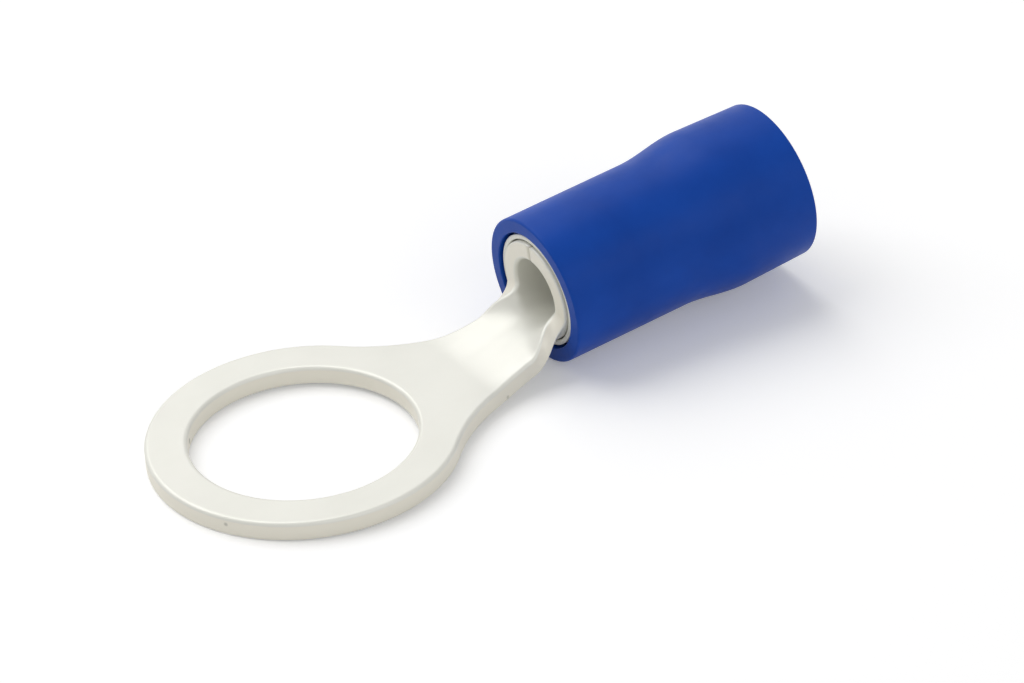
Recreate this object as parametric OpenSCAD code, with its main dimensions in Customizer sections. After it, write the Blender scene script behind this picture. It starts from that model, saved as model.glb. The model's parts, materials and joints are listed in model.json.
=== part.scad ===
// Insulated ring terminal for a stud, before it is crimped to its wire.
// The origin is the stud hole's centre on the ring's underside.
// +X runs from the ring to the barrel, and +Z is up through the hole.

/* [Ring] */
// Diameter of the stud hole
stud_hole_d = 8.4; // [7.6:0.1:9.2]
// Outer diameter of the ring
ring_d = 11.55; // [10.6:0.05:12.6]
// Thickness of the metal sheet
sheet_t = 0.72; // [0.5:0.01:0.9]

/* [Neck] */
// Width of the neck where it is narrowest
neck_w = 3.7; // [3:0.05:4.2]
// Length of the straight stretch of the neck's edges, up to the barrel
neck_straight = 0.9; // [0.6:0.1:1.6]
// Length over which the neck climbs from the ring's level to the barrel's
climb_len = 3.6; // [3:0.1:4]
// Length over which the sheet curls from flat to the barrel's round
curl_len = 1.5; // [1:0.1:2.4]
// Radius of the corner between the neck's edge and the barrel's front edge
corner_r = 0.4; // [0.2:0.05:0.6]

/* [Barrel] */
// Distance from the stud hole's centre to the foot of the barrel's front edge
barrel_x = 10.3; // [9.6:0.1:12]
// Bore of the barrel, which takes the stripped wire
barrel_bore_d = 2.5; // [2.2:0.05:2.8]
// Length of the barrel
barrel_len = 6; // [5:0.1:7]
// Width of the open seam along the barrel's top
seam_w = 0.08; // [0.04:0.02:0.2]
// Height of the barrel's underside over the ring's underside
barrel_rise = 0.64; // [0.4:0.02:1]
// Upward slope of the barrel and its sleeves towards the rear, in degrees
barrel_slope = 3.4; // [0:0.1:5]

/* [Support sleeve] */
// Wall of the thin metal sleeve round the barrel
support_wall = 0.2; // [0.15:0.01:0.3]
// Gap between the barrel and the support sleeve
support_gap = 0.05; // [0.02:0.01:0.1]
// Distance of the support sleeve's front edge behind the barrel's
support_inset = 0.1; // [0:0.05:0.5]
// Length of the support sleeve
support_len = 9.2; // [8.5:0.1:10]

/* [Insulating sleeve] */
// Wall of the vinyl sleeve
sleeve_wall = 0.55; // [0.4:0.01:0.8]
// Gap between the support sleeve and the vinyl sleeve
sleeve_gap = 0.1; // [0.03:0.01:0.15]
// Length of the vinyl sleeve
sleeve_len = 10.65; // [10:0.05:12]
// Distance from the sleeve's front to where it begins to widen
flare_start = 5.3; // [4.8:0.1:5.8]
// Length over which the sleeve widens
flare_len = 2.5; // [1.5:0.1:2.8]
// Growth in radius from the sleeve's front to its wire entry
flare_step = 0.27; // [0.1:0.01:0.5]
// Inward draw of the outer surface at the rear rim
rim_draw = 0.08; // [0:0.01:0.15]
// Rounding of the vinyl sleeve's outer edges
edge_r = 0.1; // [0.05:0.01:0.15]

/* [Hidden] */

tin = [0.84, 0.83, 0.80];
vinyl_blue = [0.07, 0.22, 0.62];

$fn = 96;
cross_steps = 16;    // facets across the curled sheet
climb_steps = 12;    // facets along the climb, before the corner
corner_steps = 4;    // facets round the corner at the barrel's front
flare_steps = 14;    // cones in the sleeves' flare
edge_steps = 4;      // cones in a rounded edge
overrun = 1;         // how far a cutter passes the face that it opens
lap = 0.06;          // how far the curled neck reaches into the level neck and the barrel's wall
hair = 0.01;         // how far its faces lie inside theirs, so that no two faces coincide

ring_r = ring_d / 2;
neck_half = neck_w / 2;

// The neck's edges are arcs that leave the ring as tangents and end at the straight stretch.
flank_x = barrel_x - neck_straight;
flank_r = (pow(flank_x, 2) + pow(neck_half, 2) - pow(ring_r, 2)) / (2 * (ring_r - neck_half));
flank_y = neck_half + flank_r;
flank_start_y = ring_r * flank_y / (ring_r + flank_r);
flat_end_x = barrel_x - climb_len;
corner_x = barrel_x - corner_r;

barrel_inner_r = barrel_bore_d / 2;
barrel_mid_r = barrel_inner_r + sheet_t / 2;
barrel_outer_r = barrel_inner_r + sheet_t;
barrel_axis_x = barrel_x - barrel_mid_r * sin(barrel_slope);
barrel_axis_z = barrel_rise + sheet_t / 2 + barrel_mid_r * cos(barrel_slope);

support_inner_r = barrel_outer_r + support_gap;
support_outer_r = support_inner_r + support_wall;
sleeve_inner_r = support_outer_r + sleeve_gap;
sleeve_outer_r = sleeve_inner_r + sleeve_wall;
flare_end = flare_start + flare_len;

// Smooth step from 0 to 1, level at both ends
function ease(u) = let (v = min(max(u, 0), 1)) v * v * (3 - 2 * v);

// Half the width of the sheet at the place x along the neck
function half_width(x) =
    x < flank_x ? flank_y - sqrt(pow(flank_r, 2) - pow(x - flank_x, 2))
    : x < corner_x ? neck_half
    : neck_half + corner_r - sqrt(max(pow(corner_r, 2) - pow(x - corner_x, 2), 0));

// Share of the climb that is done at the place x
function climbed(x) = min(max((x - flat_end_x) / climb_len, 0), 1);

// Height of the sheet's middle: level at the ring, and rising with the barrel at the end
function climb_height(x) =
    let (u = climbed(x))
    sheet_t / 2 + barrel_rise * u * u * (3 - 2 * u)
    + tan(barrel_slope) * (climb_len * u * u * (u - 1) + max(x - barrel_x, 0));

// Slope of the sheet's middle line, in degrees
function climb_angle(x) =
    let (u = climbed(x))
    atan(barrel_rise * 6 * u * (1 - u) / climb_len + tan(barrel_slope) * u * (3 * u - 2));

// Curvature across the sheet, from flat to the barrel's round
function curl(x) = ease((x - barrel_x + curl_len) / curl_len) / barrel_mid_r;

// A point of the sheet: x along it, across from its middle line, and up from its middle surface
function sheet_point(x, across, up) =
    let (k = curl(x))
    let (turn = k * across * 180 / PI)
    let (y = k > 0 ? (1 / k - up) * sin(turn) : across)
    let (rise = k > 0 ? 1 / k - (1 / k - up) * cos(turn) : up)
    let (tilt = climb_angle(x))
    [x - sin(tilt) * rise, y, climb_height(x) + cos(tilt) * rise];

// One closed section of the sheet: underside from right to left, then the top from left to right
function sheet_section(x) =
    let (w = half_width(x) - hair)
    let (h = sheet_t / 2 - hair)
    concat(
        [for (i = [0:cross_steps]) sheet_point(x, w * (2 * i / cross_steps - 1), -h)],
        [for (i = [0:cross_steps]) sheet_point(x, w * (1 - 2 * i / cross_steps), h)]
    );

// Radius gained at the place z along the sleeves
function flare_gain(z) = flare_step * ease((z - flare_start) / flare_len);

// Points of the flare from front to rear, at a base radius
function flare_points(base_r) =
    [for (i = [0:flare_steps]) let (z = flare_start + flare_len * i / flare_steps) [base_r + flare_gain(z), z]];

// Points of a rounded edge about its own centre, from one angle to another
function edge_points(r, z, from, to) =
    [for (i = [0:edge_steps]) let (a = from + (to - from) * i / edge_steps) [r + edge_r * cos(a), z + edge_r * sin(a)]];

// The ring and the level part of the neck, as one outline
module blank_outline() {
    difference() {
        union() {
            circle(r = ring_r);
            translate([0, -flank_start_y])
                square([flat_end_x, 2 * flank_start_y]);
        }
        circle(d = stud_hole_d);
        for (side = [-1, 1])
            translate([flank_x, side * flank_y])
                circle(r = flank_r, $fn = 360);
    }
}

// The stretch of sheet that climbs and curls from the level neck to the barrel's front
module curled_neck() {
    stations = concat(
        [flat_end_x - lap],
        [for (i = [1:climb_steps]) flat_end_x + (corner_x - flat_end_x) * i / climb_steps],
        [for (i = [1:corner_steps - 1]) corner_x + corner_r * sin(90 * i / corner_steps)],
        [barrel_x + lap]
    );
    ring_points = 2 * (cross_steps + 1);
    last = len(stations) - 1;
    side_faces = [
        for (s = [0:last - 1], i = [0:ring_points - 1])
            let (a = s * ring_points + i)
            let (b = s * ring_points + (i + 1) % ring_points)
            for (face = [[a, b + ring_points, b], [a, a + ring_points, b + ring_points]]) face
    ];
    front_face = [for (i = [0:cross_steps - 1]) let (j = ring_points - 1 - i) [i, j - 1, j]];
    front_fill = [for (i = [0:cross_steps - 1]) [i, i + 1, ring_points - 2 - i]];
    rear_faces = [for (face = concat(front_face, front_fill)) [for (v = [2, 1, 0]) face[v] + last * ring_points]];
    polyhedron(
        points = [for (x = stations) each sheet_section(x)],
        faces = concat(side_faces, front_face, front_fill, rear_faces)
    );
}

// Stands its children on the barrel's front, with their +Z along the barrel towards the rear and -X up
module along_barrel() {
    translate([barrel_axis_x, 0, barrel_axis_z])
        rotate([0, 90 - barrel_slope, 0])
            children();
}

module barrel() {
    difference() {
        cylinder(r = barrel_outer_r, h = barrel_len);
        translate([0, 0, -overrun])
            cylinder(r = barrel_inner_r, h = barrel_len + 2 * overrun);
        translate([-barrel_outer_r - overrun, -seam_w / 2, -overrun])
            cube([barrel_outer_r + overrun, seam_w, barrel_len + 2 * overrun]);
    }
}

module ring_terminal() {
    color(tin) {
        linear_extrude(height = sheet_t)
            blank_outline();
        curled_neck();
        along_barrel()
            barrel();
    }
}

module support_sleeve() {
    color(tin)
        along_barrel()
            rotate_extrude()
                polygon(concat(
                    [[support_inner_r, support_inset]],
                    flare_points(support_inner_r),
                    [[support_inner_r + flare_step, support_inset + support_len]],
                    [[support_outer_r + flare_step, support_inset + support_len]],
                    [for (i = [flare_steps:-1:0]) flare_points(support_outer_r)[i]],
                    [[support_outer_r, support_inset]]
                ));
}

module insulating_sleeve() {
    rim_r = sleeve_outer_r + flare_step - rim_draw;
    color(vinyl_blue)
        along_barrel()
            rotate_extrude()
                polygon(concat(
                    [[sleeve_inner_r, 0]],
                    edge_points(sleeve_outer_r - edge_r, edge_r, -90, 0),
                    flare_points(sleeve_outer_r),
                    edge_points(rim_r - edge_r, sleeve_len - edge_r, 0, 90),
                    [[sleeve_inner_r + flare_step, sleeve_len]],
                    [for (i = [flare_steps:-1:0]) flare_points(sleeve_inner_r)[i]]
                ));
}

ring_terminal();
support_sleeve();
insulating_sleeve();
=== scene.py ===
"""An insulated ring terminal lying on a white table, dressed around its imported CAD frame."""

import json
import math

import bmesh
import bpy
import numpy as np
from mathutils import Matrix, Vector


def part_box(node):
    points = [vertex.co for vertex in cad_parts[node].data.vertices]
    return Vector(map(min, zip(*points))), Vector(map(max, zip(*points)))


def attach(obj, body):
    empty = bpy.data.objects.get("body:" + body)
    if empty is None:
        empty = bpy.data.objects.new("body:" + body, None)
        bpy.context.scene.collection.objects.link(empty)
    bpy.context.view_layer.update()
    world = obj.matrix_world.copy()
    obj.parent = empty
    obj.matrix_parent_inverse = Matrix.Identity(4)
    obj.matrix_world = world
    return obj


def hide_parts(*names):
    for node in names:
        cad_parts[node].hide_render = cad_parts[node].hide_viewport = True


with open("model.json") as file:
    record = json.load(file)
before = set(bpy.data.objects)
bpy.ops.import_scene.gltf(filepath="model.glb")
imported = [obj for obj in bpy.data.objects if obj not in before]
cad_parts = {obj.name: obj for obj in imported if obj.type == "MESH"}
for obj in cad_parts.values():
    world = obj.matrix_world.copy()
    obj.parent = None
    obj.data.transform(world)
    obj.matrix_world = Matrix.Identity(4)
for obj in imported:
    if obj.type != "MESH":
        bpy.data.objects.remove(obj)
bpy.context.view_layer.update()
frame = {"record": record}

MM = 0.001

# Sizes that the frame gives
MOUNTS = {mount["name"]: mount for mount in frame["record"]["mounts"]}
HOLE_R = MOUNTS["stud_hole"]["dims"]["r_mm"] * MM
SHEET = MOUNTS["stud_hole"]["dims"]["length_mm"] * MM
BORE_R = MOUNTS["wire_barrel"]["dims"]["r_mm"] * MM
BARREL_LEN = MOUNTS["wire_barrel"]["dims"]["length_mm"] * MM
ENTRY_R = MOUNTS["wire_entry"]["dims"]["r_mm"] * MM
TERMINAL_LOW, TERMINAL_HIGH = (np.array(corner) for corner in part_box("ring_terminal"))
SLEEVE_LOW = np.array(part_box("insulating_sleeve")[0])
RING_R = (TERMINAL_HIGH[1] - TERMINAL_LOW[1]) / 2
AXIS = np.array(MOUNTS["wire_barrel"]["axis"])
SLOPE = math.atan2(AXIS[2], AXIS[0])
BARREL_MID_R = BORE_R + SHEET / 2
BARREL_FRONT = np.array(MOUNTS["wire_barrel"]["pos_m"]) - AXIS * BARREL_LEN / 2
BARREL_X = BARREL_FRONT[0] + BARREL_MID_R * math.sin(SLOPE)
BARREL_RISE = BARREL_FRONT[2] - BARREL_MID_R * math.cos(SLOPE) - SHEET / 2

# The neck and the seam, as in the CAD source
NECK_HALF = 1.85 * MM
NECK_STRAIGHT = 0.9 * MM
CLIMB_LEN = 3.6 * MM
CURL_LEN = 1.5 * MM
CORNER_R = 0.4 * MM
SEAM = 0.08 * MM

# The two sleeves, as in the CAD source
SUPPORT_WALL = 0.2 * MM
SUPPORT_GAP = 0.05 * MM
SUPPORT_INSET = 0.1 * MM
SUPPORT_LEN = 9.2 * MM
SLEEVE_GAP = 0.1 * MM
SLEEVE_WALL = 0.55 * MM
SLEEVE_LEN = 10.65 * MM
FLARE_START = 5.3 * MM
FLARE_LEN = 2.5 * MM
RIM_DRAW = 0.08 * MM
SUPPORT_INNER_R = BORE_R + SHEET + SUPPORT_GAP
FLARE_STEP = ENTRY_R - SUPPORT_INNER_R
SUPPORT_OUTER_R = SUPPORT_INNER_R + SUPPORT_WALL
SLEEVE_INNER_R = SUPPORT_OUTER_R + SLEEVE_GAP
SLEEVE_OUTER_R = SLEEVE_INNER_R + SLEEVE_WALL

# Finish of the sheet's edges
ROLL_R = 0.15 * MM
BURR_R = 0.06 * MM
SUPPORT_LOOP = 0.02 * MM

# Share of the tin that reflects as bare metal, and how many pits lie along a metre
TIN_METALLIC = 0.2
PIT_SCALE = 430.0

# The floor, and the light of the world on the part and of the floor towards the camera
FLOOR_SIZE = 1.2
FLOOR_GAP = 0.01 * MM
FLOOR_WHITE = 0.96
FLOOR_ROUGHNESS = 0.9
FLOOR_SPECULAR = 0.1
FLOOR_GLOW = 0.20
WORLD_AS_LAMP = 0.35

# The lamps: place, size and power, both aimed at one point
LAMP_TARGET = (8 * MM, 0, 2 * MM)
KEY_LAMP = ((-0.05, 0.20, 0.32), (0.44, 0.33), 1.0)
FILL_LAMP = ((0.05, -0.30, 0.18), (0.30, 0.20), 0.20)

# The camera: where it looks from, in degrees, and its lens on a 36 mm sensor
CAMERA_HEADING = 58.96
CAMERA_ELEVATION = 33.16
CAMERA_ROLL = 4.44
CAMERA_DISTANCE = 200 * MM
CAMERA_TARGET = Vector((7.71 * MM, -2.28 * MM, 2.59 * MM))
CAMERA_LENS = 194.0
CAMERA_CLIP = (0.005, 10)


def ease(u):
    """Smooth step from 0 to 1, level at both ends."""
    v = np.clip(u, 0, 1)
    return v * v * (3 - 2 * v)


def make_object(name, points, faces, smooth=True):
    """A mesh object from points and faces."""
    mesh = bpy.data.meshes.new(name)
    mesh.from_pydata([tuple(map(float, p)) for p in points], [], [tuple(map(int, f)) for f in faces])
    tidy = bmesh.new()
    tidy.from_mesh(mesh)
    bmesh.ops.recalc_face_normals(tidy, faces=tidy.faces)
    tidy.to_mesh(mesh)
    tidy.free()
    mesh.shade_smooth() if smooth else mesh.shade_flat()
    obj = bpy.data.objects.new(name, mesh)
    bpy.context.scene.collection.objects.link(obj)
    return obj


def store(obj, name, values):
    """Stores one number per point on a mesh, for its material."""
    attribute = obj.data.attributes.new(name, "FLOAT", "POINT")
    attribute.data.foreach_set("value", np.asarray(values, float))


# ---------------------------------------------------------------- terminal

FLANK_X = BARREL_X - NECK_STRAIGHT
FLANK_R = (FLANK_X**2 + NECK_HALF**2 - RING_R**2) / (2 * (RING_R - NECK_HALF))
FLANK_Y = NECK_HALF + FLANK_R
FLANK_START_X = RING_R * FLANK_X / (RING_R + FLANK_R)
FLAT_END_X = BARREL_X - CLIMB_LEN
CORNER_X = BARREL_X - CORNER_R
WING = math.pi * BARREL_MID_R - SEAM / 2


def bend(x, across, up):
    """Where a point of the flat blank lies once the sheet has been bent and rolled up."""
    u = np.clip((x - FLAT_END_X) / CLIMB_LEN, 0, 1)
    slope = math.tan(SLOPE)
    height = SHEET / 2 + BARREL_RISE * u * u * (3 - 2 * u)
    height = height + slope * (CLIMB_LEN * u * u * (u - 1) + np.maximum(x - BARREL_X, 0))
    tilt = np.arctan(BARREL_RISE * 6 * u * (1 - u) / CLIMB_LEN + slope * u * (3 * u - 2))
    k = np.maximum(ease((x - BARREL_X + CURL_LEN) / CURL_LEN), 1e-6) / BARREL_MID_R
    y = (1 / k - up) * np.sin(k * across)
    rise = 1 / k - (1 / k - up) * np.cos(k * across)
    return np.stack([x - np.sin(tilt) * rise, y, height + np.cos(tilt) * rise], -1)


def edge_profile():
    """Steps from the top face round the cut edge to the underside: distance in from the edge, and height."""
    half = SHEET / 2
    inner = [(ROLL_R + SUPPORT_LOOP, half)]
    top = [
        (ROLL_R * (1 - math.sin(a)), half - ROLL_R * (1 - math.cos(a)))
        for a in np.linspace(0, math.pi / 2, 7)
    ]
    wall = [(0, h) for h in np.linspace(half - ROLL_R, -half + BURR_R, 5)[1:-1]]
    base = [
        (BURR_R * (1 - math.cos(a)), -half + BURR_R * (1 - math.sin(a)))
        for a in np.linspace(0, math.pi / 2, 4)
    ]
    return inner + top + wall + base + [(ROLL_R + SUPPORT_LOOP, -half)]


class Blank:
    """The flat blank's mesh: points as (x, across, up), built up face by face."""

    def __init__(self):
        self.points = []
        self.faces = []
        self.index = {}
        self.shear = []

    def point(self, x, y, up, shear=0.0):
        key = (round(x * 1e8), round(y * 1e8), round(up * 1e8))
        if key not in self.index:
            self.index[key] = len(self.points)
            self.points.append((x, y, up))
            self.shear.append(shear)
        return self.index[key]

    def face(self, *corners):
        ring = [c for i, c in enumerate(corners) if c != corners[i - 1]]
        if len(ring) > 2:
            self.faces.append(ring)

    def sheet_grid(self, columns):
        """Top and bottom faces over columns of (x, y) points, all columns of one length."""
        for up, flip in ((SHEET / 2, False), (-SHEET / 2, True)):
            grid = [[self.point(x, y, up) for x, y in column] for column in columns]
            for a, b in zip(grid, grid[1:]):
                for i in range(len(a) - 1):
                    corners = (a[i], b[i], b[i + 1], a[i + 1])
                    self.face(*(reversed(corners) if flip else corners))

    def edge_strip(self, outline):
        """The rounded cut edge along an outline of ((x, y), (outward x, outward y)) pairs."""
        half = SHEET / 2
        rows = []
        for (x, y), (nx, ny) in outline:
            row = []
            for inset, up in edge_profile():
                on_wall = 1.0 if inset < 1e-9 else 0.0
                row.append(self.point(x - nx * inset, y - ny * inset, up, on_wall))
            rows.append(row)
        for a, b in zip(rows, rows[1:]):
            for i in range(len(a) - 1):
                self.face(a[i], a[i + 1], b[i + 1], b[i])


def build_terminal():
    """The ring, the neck and the barrel as one sheet with rounded edges, bent up from a flat blank."""
    inset = ROLL_R + SUPPORT_LOOP
    blank = Blank()

    # Outer edge, from the ring's far end to the end of the level neck, on the +Y side
    touch = math.atan2(FLANK_Y, FLANK_X)
    arc = [((RING_R * math.cos(a), RING_R * math.sin(a)), (math.cos(a), math.sin(a)))
           for a in np.linspace(math.pi, touch, 110)]
    flank_from = math.atan2(RING_R * math.sin(touch) - FLANK_Y, FLANK_START_X - FLANK_X)
    flank_to = -math.acos((FLAT_END_X - FLANK_X) / FLANK_R)
    flank = [((FLANK_X + FLANK_R * math.cos(a), FLANK_Y + FLANK_R * math.sin(a)),
              (-math.cos(a), -math.sin(a))) for a in np.linspace(flank_from, flank_to, 18)]
    ring_edge = arc + flank[1:]

    # The rest of the neck's edge and the corner, up to the barrel's front
    rest_to = -math.pi / 2
    rest = [((FLANK_X + FLANK_R * math.cos(a), FLANK_Y + FLANK_R * math.sin(a)),
             (-math.cos(a), -math.sin(a))) for a in np.linspace(flank_to, rest_to, 26)]
    straight = [((x, NECK_HALF), (0.0, 1.0)) for x in np.linspace(FLANK_X, CORNER_X, 9)[1:]]
    corner = [((CORNER_X + CORNER_R * math.sin(a), NECK_HALF + CORNER_R * (1 - math.cos(a))),
               (-math.sin(a), math.cos(a))) for a in np.linspace(0, math.pi / 2, 12)[1:]]
    neck_edge = rest + straight + corner

    # The barrel's wing: its front edge, the seam and the rear edge
    across_steps = 48
    neck_top = NECK_HALF + CORNER_R
    front = [((BARREL_X, y), (-1.0, 0.0)) for y in np.linspace(neck_top, WING - inset, 34)]
    along = np.linspace(BARREL_X + inset, BARREL_X + BARREL_LEN - inset, 26)
    seam = [((BARREL_X, WING), (-1.0, 1.0))] + [((x, WING), (0.0, 1.0)) for x in along]
    seam += [((BARREL_X + BARREL_LEN, WING), (1.0, 1.0))]
    wing_y = [y for (x, y), n in front][1:]
    middle_y = np.linspace(neck_top, -neck_top, across_steps + 1)
    rear_y = wing_y[::-1] + list(middle_y) + [-y for y in wing_y]
    rear = [((BARREL_X + BARREL_LEN, y), (1.0, 0.0)) for y in rear_y]

    def mirrored(edge):
        return [((x, -y), (nx, -ny)) for (x, y), (nx, ny) in reversed(edge)]

    upper = ring_edge + neck_edge[1:] + front[1:] + seam
    blank.edge_strip(upper + rear + mirrored(upper))

    def inward(edge):
        return [(x - nx * inset, y - ny * inset) for (x, y), (nx, ny) in edge]

    # Level part: rays from the stud hole to the outer edge and to the line across the neck
    upper_in = inward(ring_edge)
    lower_in = [(x, -y) for x, y in reversed(upper_in)]
    end_x, end_y = upper_in[-1]
    cross = [(end_x, y) for y in np.linspace(end_y, -end_y, across_steps + 1)]
    loop = upper_in + cross[1:-1] + lower_in
    rim = [math.atan2(y, x) for x, y in loop]
    hole_r = HOLE_R + inset
    shares = np.linspace(0, 1, 6)
    rays = []
    for (x, y), angle in zip(loop, rim):
        a = (hole_r * math.cos(angle), hole_r * math.sin(angle))
        rays.append([(a[0] + (x - a[0]) * s, a[1] + (y - a[1]) * s) for s in shares])
    blank.sheet_grid(rays)
    hole = [((HOLE_R * math.cos(a), HOLE_R * math.sin(a)), (-math.cos(a), -math.sin(a)))
            for a in reversed(rim)]
    blank.edge_strip(hole)

    # Neck: columns from edge to edge
    columns = [
        [(x, y) for y in np.linspace(y_top, -y_top, across_steps + 1)]
        for x, y_top in inward(neck_edge)
    ]
    columns[0] = cross
    blank.sheet_grid(columns)

    # Barrel: columns across the whole width
    barrel_y = [WING - inset] + wing_y[::-1][1:] + list(middle_y)
    barrel_y += [-y for y in wing_y[:-1]] + [-WING + inset]
    blank.sheet_grid([[(x, y) for y in barrel_y] for x in along])

    points = np.array(blank.points)
    bent = bend(points[:, 0], points[:, 1], points[:, 2])
    obj = make_object("terminal", bent, blank.faces)
    store(obj, "shear", blank.shear)
    return obj


# ---------------------------------------------------------------- sleeves


def flare_gain(z):
    return FLARE_STEP * ease((z - FLARE_START) / FLARE_LEN)


def lathe(name, profile, steps=160):
    """A closed profile of (radius, distance along the barrel) turned round the barrel's axis."""
    profile = np.array(profile)
    across = Vector((0, 1, 0))
    axis = Vector(AXIS).normalized()
    up = axis.cross(across) * -1
    points, faces = [], []
    count = len(profile)
    for i in range(steps):
        a = 2 * math.pi * i / steps
        out = across * math.cos(a) + up * math.sin(a)
        for r, z in profile:
            points.append(Vector(BARREL_FRONT) + axis * z + out * r)
    for i in range(steps):
        for j in range(count):
            a, b = i * count + j, i * count + (j + 1) % count
            c, d = ((i + 1) % steps) * count + (j + 1) % count, ((i + 1) % steps) * count + j
            faces.append((a, b, c, d))
    return make_object(name, points, faces)


def round_corner(r, z, radius, start, end, steps=5):
    """Points of a rounded corner about its centre (r, z), between two angles in degrees."""
    angles = np.radians(np.linspace(start, end, steps))
    return [(r + radius * math.cos(a), z + radius * math.sin(a)) for a in angles]


def build_vinyl():
    """The blue sleeve: its cut front, the flare, the rear rim and the inside."""
    soft, sharp = 0.09 * MM, 0.04 * MM
    rear = SLEEVE_LEN
    rim_outer = SLEEVE_OUTER_R + FLARE_STEP - RIM_DRAW
    rim_inner = SLEEVE_INNER_R + FLARE_STEP
    outer = []
    for z in np.linspace(0.12 * MM, rear - 0.12 * MM, 90):
        draw = RIM_DRAW * np.clip((z - FLARE_START - FLARE_LEN) / (rear - FLARE_START - FLARE_LEN), 0, 1)
        outer.append((SLEEVE_OUTER_R + flare_gain(z) - draw, z))
    inner = [(SLEEVE_INNER_R + flare_gain(z), z) for z in np.linspace(rear - 0.1 * MM, 0.1 * MM, 60)]
    profile = round_corner(SLEEVE_INNER_R + sharp, sharp, sharp, 180, 270)
    profile += [(r, 0) for r in np.linspace(SLEEVE_INNER_R + 2 * sharp, SLEEVE_OUTER_R - 1.2 * soft, 5)]
    profile += round_corner(SLEEVE_OUTER_R - soft, soft, soft, -90, 0)
    profile += outer
    profile += round_corner(rim_outer - sharp, rear - sharp, sharp, 0, 90)
    profile += [(r, rear) for r in np.linspace(rim_outer - 2 * sharp, rim_inner + 2 * sharp, 5)]
    profile += round_corner(rim_inner + sharp, rear - sharp, sharp, 90, 180)
    profile += inner
    return lathe("vinyl_sleeve", profile)


def build_support():
    """The thin metal sleeve between the barrel and the vinyl."""
    front, rear = SUPPORT_INSET, SUPPORT_INSET + SUPPORT_LEN
    edge = 0.05 * MM
    zs = np.linspace(front + 0.08 * MM, rear - 0.08 * MM, 60)
    profile = round_corner(SUPPORT_INNER_R + edge, front + edge, edge, 180, 270)
    profile += round_corner(SUPPORT_OUTER_R - edge, front + edge, edge, -90, 0)
    profile += [(SUPPORT_OUTER_R + flare_gain(z), z) for z in zs]
    profile += round_corner(SUPPORT_OUTER_R + FLARE_STEP - edge, rear - edge, edge, 0, 90)
    profile += round_corner(SUPPORT_INNER_R + FLARE_STEP + edge, rear - edge, edge, 90, 180)
    profile += [(SUPPORT_INNER_R + flare_gain(z), z) for z in zs[::-1]]
    return lathe("support_ring", profile)


# ---------------------------------------------------------------- materials


class Nodes:
    """Short helper for building a material's node tree."""

    def __init__(self, name):
        self.material = bpy.data.materials.new(name)
        self.material.use_nodes = True
        self.tree = self.material.node_tree
        self.shader = self.tree.nodes["Principled BSDF"]

    def add(self, kind, **settings):
        node = self.tree.nodes.new(kind)
        for key, value in settings.items():
            if hasattr(node, key) and key not in node.inputs:
                setattr(node, key, value)
            else:
                node.inputs[key].default_value = value
        return node

    def link(self, out_socket, in_socket):
        self.tree.links.new(out_socket, in_socket)

    def noise(self, scale, detail=4.0, stretch=(1, 1, 1)):
        place = self.add("ShaderNodeTexCoord")
        mapping = self.add("ShaderNodeMapping")
        mapping.inputs["Scale"].default_value = stretch
        noise = self.add("ShaderNodeTexNoise", Scale=scale, Detail=detail)
        self.link(place.outputs["Object"], mapping.inputs["Vector"])
        self.link(mapping.outputs["Vector"], noise.inputs["Vector"])
        return noise.outputs["Fac"]

    def spread(self, value, low, high):
        """Maps the middle of a noise onto a range of numbers."""
        node = self.add("ShaderNodeMapRange")
        self.link(value, node.inputs["Value"])
        for key, number in (("From Min", 0.3), ("From Max", 0.7), ("To Min", low), ("To Max", high)):
            node.inputs[key].default_value = number
        return node.outputs["Result"]

    def mix(self, factor, first, second):
        node = self.add("ShaderNodeMix", data_type="RGBA")
        self.link(factor, node.inputs["Factor"])
        for key, colour in ((6, first), (7, second)):
            if isinstance(colour, tuple):
                node.inputs[key].default_value = (*colour, 1)
            else:
                self.link(colour, node.inputs[key])
        return node.outputs[2]

    def pits(self, colour):
        """Sparse small dark pits over a colour."""
        place = self.add("ShaderNodeTexCoord")
        cells = self.add("ShaderNodeTexVoronoi", Scale=PIT_SCALE)
        self.link(place.outputs["Object"], cells.inputs["Vector"])
        dot = self.add("ShaderNodeMapRange")
        self.link(cells.outputs["Distance"], dot.inputs["Value"])
        for key, number in (("From Min", 0.03), ("From Max", 0.055), ("To Min", 0.7), ("To Max", 0.0)):
            dot.inputs[key].default_value = number
        return self.mix(dot.outputs["Result"], colour, (0.30, 0.29, 0.25))

    def bump(self, value, distance, strength=1.0, normal=None):
        node = self.add("ShaderNodeBump", Distance=distance, Strength=strength)
        self.link(value, node.inputs["Height"])
        if normal:
            self.link(normal, node.inputs["Normal"])
        return node.outputs["Normal"]


def tin_material(name, edges):
    """Dull tin plating with faint streaks and sparse pits; the cut edges are a little warmer."""
    n = Nodes(name)
    cloud = n.noise(260.0)
    streak = n.noise(900.0, 3.0, (0.25, 2.2, 1.0))
    colour = n.mix(n.spread(cloud, 0, 1), (0.77, 0.765, 0.70), (0.82, 0.815, 0.75))
    roughness = n.spread(streak, 0.36, 0.47)
    if edges:
        shear = n.add("ShaderNodeAttribute", attribute_name="shear")
        colour = n.mix(shear.outputs["Fac"], colour, (0.83, 0.80, 0.70))
    n.link(n.pits(colour), n.shader.inputs["Base Color"])
    n.link(roughness, n.shader.inputs["Roughness"])
    n.shader.inputs["Metallic"].default_value = TIN_METALLIC
    fine = n.bump(n.noise(5200.0, 3.0), 0.000004, 0.5)
    n.link(n.bump(streak, 0.000012, 0.5, fine), n.shader.inputs["Normal"])
    return n.material


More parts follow.
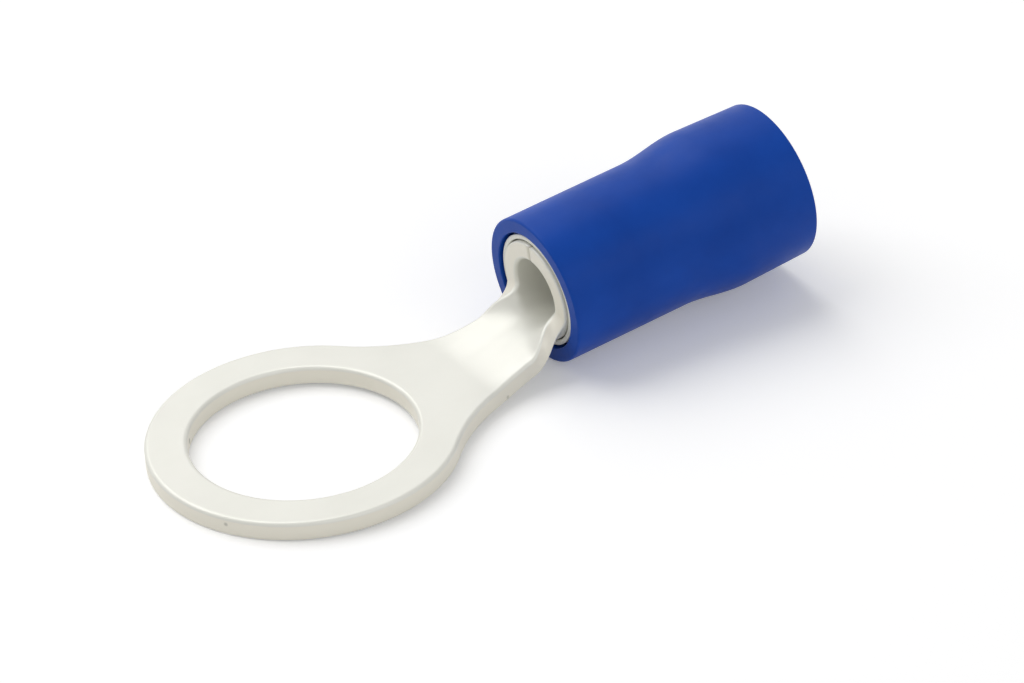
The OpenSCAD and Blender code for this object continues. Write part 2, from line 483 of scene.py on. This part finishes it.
def vinyl_material():
    """Satin blue vinyl with a faint mottle."""
    n = Nodes("blue_vinyl")
    colour = n.mix(n.spread(n.noise(420.0), 0, 1), (0.003, 0.052, 0.34), (0.005, 0.066, 0.41))
    n.link(colour, n.shader.inputs["Base Color"])
    n.link(n.spread(n.noise(1500.0), 0.38, 0.46), n.shader.inputs["Roughness"])
    n.shader.inputs["Specular IOR Level"].default_value = 0.13
    fine = n.bump(n.noise(4200.0, 3.0), 0.000004, 0.4)
    n.link(n.bump(n.noise(320.0, 2.0), 0.00003, 0.25, fine), n.shader.inputs["Normal"])
    return n.material


def dress(obj, material, node):
    """Gives a piece its material and its body, and hides the CAD node that it stands for."""
    obj.data.materials.clear()
    obj.data.materials.append(material)
    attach(obj, "root")
    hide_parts(node)


# ---------------------------------------------------------------- stage


def build_stage():
    """A white floor that the ring's far end and the sleeve's front edge both touch, and the world."""
    tilt = math.atan2(-SLEEVE_LOW[2], SLEEVE_LOW[0] + RING_R)
    bpy.ops.mesh.primitive_plane_add(size=FLOOR_SIZE, location=(-RING_R, 0, -FLOOR_GAP))
    floor = bpy.context.active_object
    floor.name = "floor"
    floor.rotation_euler = (0, tilt, 0)
    material = bpy.data.materials.new("white_floor")
    material.use_nodes = True
    tree = material.node_tree
    shader = tree.nodes["Principled BSDF"]
    shader.inputs["Base Color"].default_value = (FLOOR_WHITE, FLOOR_WHITE, FLOOR_WHITE, 1)
    shader.inputs["Roughness"].default_value = FLOOR_ROUGHNESS
    shader.inputs["Specular IOR Level"].default_value = FLOOR_SPECULAR
    glow = tree.nodes.new("ShaderNodeMath")
    glow.operation = "MULTIPLY"
    glow.inputs[1].default_value = FLOOR_GLOW
    tree.links.new(seen_directly(tree), glow.inputs[0])
    shader.inputs["Emission Color"].default_value = (1, 1, 1, 1)
    tree.links.new(glow.outputs["Value"], shader.inputs["Emission Strength"])
    floor.data.materials.append(material)

    world = bpy.data.worlds.new("studio")
    bpy.context.scene.world = world
    world.use_nodes = True
    tree = world.node_tree
    background = tree.nodes["Background"]
    background.inputs["Color"].default_value = (1, 1, 1, 1)
    seen = seen_directly(tree)
    level = tree.nodes.new("ShaderNodeMapRange")
    level.inputs["To Min"].default_value = WORLD_AS_LAMP
    level.inputs["To Max"].default_value = 1.0
    tree.links.new(seen, level.inputs["Value"])
    tree.links.new(level.outputs["Result"], background.inputs["Strength"])


def seen_directly(tree):
    """1 for rays from the camera, a reflection or clear matter, and 0 for the others."""
    path = tree.nodes.new("ShaderNodeLightPath")
    total = path.outputs["Is Camera Ray"]
    for name in ("Is Glossy Ray", "Is Transmission Ray"):
        node = tree.nodes.new("ShaderNodeMath")
        node.operation = "MAXIMUM"
        tree.links.new(total, node.inputs[0])
        tree.links.new(path.outputs[name], node.inputs[1])
        total = node.outputs["Value"]
    return total


def area_light(name, place, size, power):
    """A rectangular lamp aimed at the part."""
    data = bpy.data.lights.new(name, "AREA")
    data.shape = "RECTANGLE"
    data.size, data.size_y = size
    data.energy = power
    lamp = bpy.data.objects.new(name, data)
    lamp.location = place
    lamp.rotation_euler = (Vector(LAMP_TARGET) - Vector(place)).to_track_quat("-Z", "Y").to_euler()
    bpy.context.scene.collection.objects.link(lamp)


def build_camera():
    """The camera, from its heading, elevation, roll and distance."""
    heading, elevation = math.radians(CAMERA_HEADING), math.radians(CAMERA_ELEVATION)
    look = Vector((math.cos(elevation) * math.cos(heading),
                   math.cos(elevation) * math.sin(heading), -math.sin(elevation)))
    right = look.cross(Vector((0, 0, 1))).normalized()
    up = right.cross(look)
    roll = Matrix.Rotation(math.radians(CAMERA_ROLL), 3, look)
    right, up = roll @ right, roll @ up
    data = bpy.data.cameras.new("camera")
    data.lens = CAMERA_LENS
    data.clip_start, data.clip_end = CAMERA_CLIP
    camera = bpy.data.objects.new("camera", data)
    turn = Matrix((right, up, -look)).transposed().to_4x4()
    camera.matrix_world = Matrix.Translation(CAMERA_TARGET - look * CAMERA_DISTANCE) @ turn
    bpy.context.scene.collection.objects.link(camera)
    bpy.context.scene.camera = camera


dress(build_terminal(), tin_material("tin_plate", True), "ring_terminal")
dress(build_support(), tin_material("tin_sleeve", False), "support_sleeve")
dress(build_vinyl(), vinyl_material(), "insulating_sleeve")
build_stage()
area_light("key", *KEY_LAMP)
area_light("fill", *FILL_LAMP)
build_camera()
bpy.context.scene.view_settings.view_transform = "Standard"
